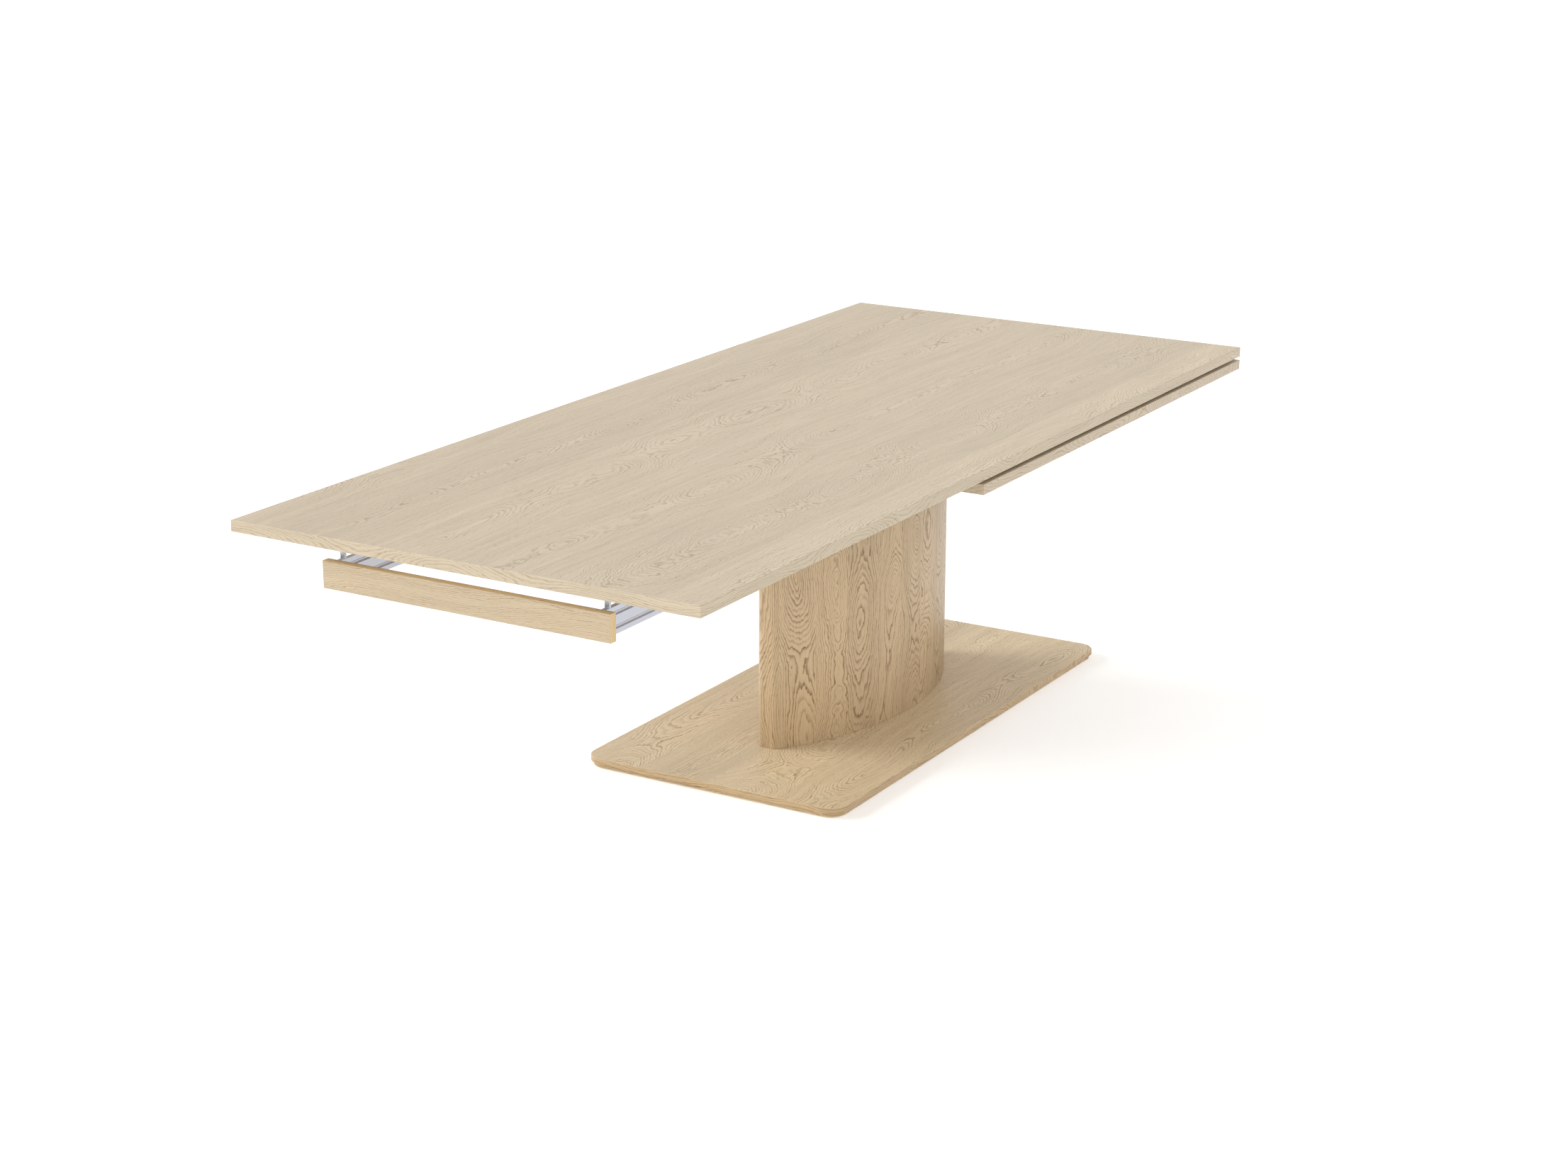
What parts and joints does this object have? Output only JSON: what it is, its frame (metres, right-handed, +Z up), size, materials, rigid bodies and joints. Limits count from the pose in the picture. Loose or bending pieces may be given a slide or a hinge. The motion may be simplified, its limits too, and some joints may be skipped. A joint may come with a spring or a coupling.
{
  "type": "extending dining table",
  "caption": "Pedestal dining table in pale oak with a lens-shaped column; its top and a stored leaf run apart on geared aluminium rails.",
  "frame": {"origin": "on the floor under the middle of the base plate", "axes": "+X along the table towards the leaf's end, +Y across, +Z up; the front panel is at the -X end"},
  "size_m": [2.5, 1.08, 0.75],
  "materials": {
    "oak_top": "matt oiled pale oak veneer",
    "oak_base": "matt oiled pale oak veneer",
    "oak_column": "matt oiled oak veneer, grain upright",
    "oak_panel": "matt oiled solid oak",
    "beech": "plain turned beech",
    "plywood": "raw birch plywood",
    "felt": "pressed wool felt",
    "aluminium": "satin anodised extrusion",
    "black_steel": "fine black powder coat",
    "zinc_steel": "bright zinc plating",
    "gear_steel": "cut steel, lightly oiled",
    "glide_plastic": "natural acetal",
    "rack_plastic": "black moulded nylon"
  },
  "bodies": {
    "pedestal": {"base_felt": "felt", "base_lower_board": "oak_base", "base_screws": "zinc_steel", "base_upper_board": "oak_base", "beam_bolts": "zinc_steel", "column_end_far": "oak_column", "column_end_near": "oak_column", "column_former_lower": "plywood", "column_former_middle": "plywood", "column_former_upper": "plywood", "column_side_left": "oak_column", "column_side_right": "oak_column", "cross_beam_far": "black_steel", "cross_beam_near": "black_steel", "foot_bolts": "zinc_steel", "foot_plate": "black_steel", "head_bolts": "zinc_steel", "head_plate": "black_steel", "inner_glides_left": "glide_plastic", "inner_glides_right": "glide_plastic", "outer_glides_left": "glide_plastic", "outer_glides_right": "glide_plastic", "pinion_axle_left": "gear_steel", "pinion_axle_right": "gear_steel", "steel_tube_far": "black_steel", "steel_tube_near": "black_steel", "support_beam_left": "aluminium", "support_beam_right": "aluminium"},
    "top_carriage": {"front_panel": "oak_panel", "panel_bracket_left": "zinc_steel", "panel_bracket_right": "zinc_steel", "post_middle_left": "zinc_steel", "post_middle_right": "zinc_steel", "post_near_left": "zinc_steel", "post_near_right": "zinc_steel", "stiffener_left": "black_steel", "stiffener_right": "black_steel", "table_top": "oak_top", "top_glide_pads": "felt", "top_rack_left": "rack_plastic", "top_rack_right": "rack_plastic", "top_rail_left": "aluminium", "top_rail_right": "aluminium", "top_screws": "zinc_steel"},
    "leaf_carriage": {"leaf_board": "oak_top", "leaf_brackets": "zinc_steel", "leaf_pins": "beech", "leaf_rack_left": "rack_plastic", "leaf_rack_right": "rack_plastic", "leaf_rail_left": "aluminium", "leaf_rail_right": "aluminium", "leaf_screws": "zinc_steel", "leaf_tie_far": "aluminium", "leaf_tie_near": "aluminium"},
    "pinion_left": {"pinion_bush_left": "glide_plastic", "pinion_left": "gear_steel"},
    "pinion_right": {"pinion_bush_right": "glide_plastic", "pinion_right": "gear_steel"}
  },
  "joints": [
    {"name": "top_slide", "type": "slide", "parent": "pedestal", "child": "top_carriage", "axis": [-1, 0, 0], "range_m": [-0.275, 0.7]},
    {"name": "leaf_slide", "type": "slide", "parent": "pedestal", "child": "leaf_carriage", "axis": [1, 0, 0], "range_m": [-0.275, 0.7]},
    {"name": "pinion_left_spin", "type": "hinge", "parent": "pedestal", "child": "pinion_left", "pos_m": [0, 0.28, 0.66], "axis": [0, 0, 1], "range_deg": [-1051, 2674.5]},
    {"name": "pinion_right_spin", "type": "hinge", "parent": "pedestal", "child": "pinion_right", "pos_m": [0, -0.28, 0.66], "axis": [0, 0, -1], "range_deg": [-1051, 2674.5]}
  ],
  "couplings": [
    {"joint": "leaf_slide", "follows": "top_slide", "ratio": 1},
    {"joint": "pinion_left_spin", "follows": "top_slide", "rad_per_m": 66.667},
    {"joint": "pinion_right_spin", "follows": "top_slide", "rad_per_m": 66.667}
  ]
}
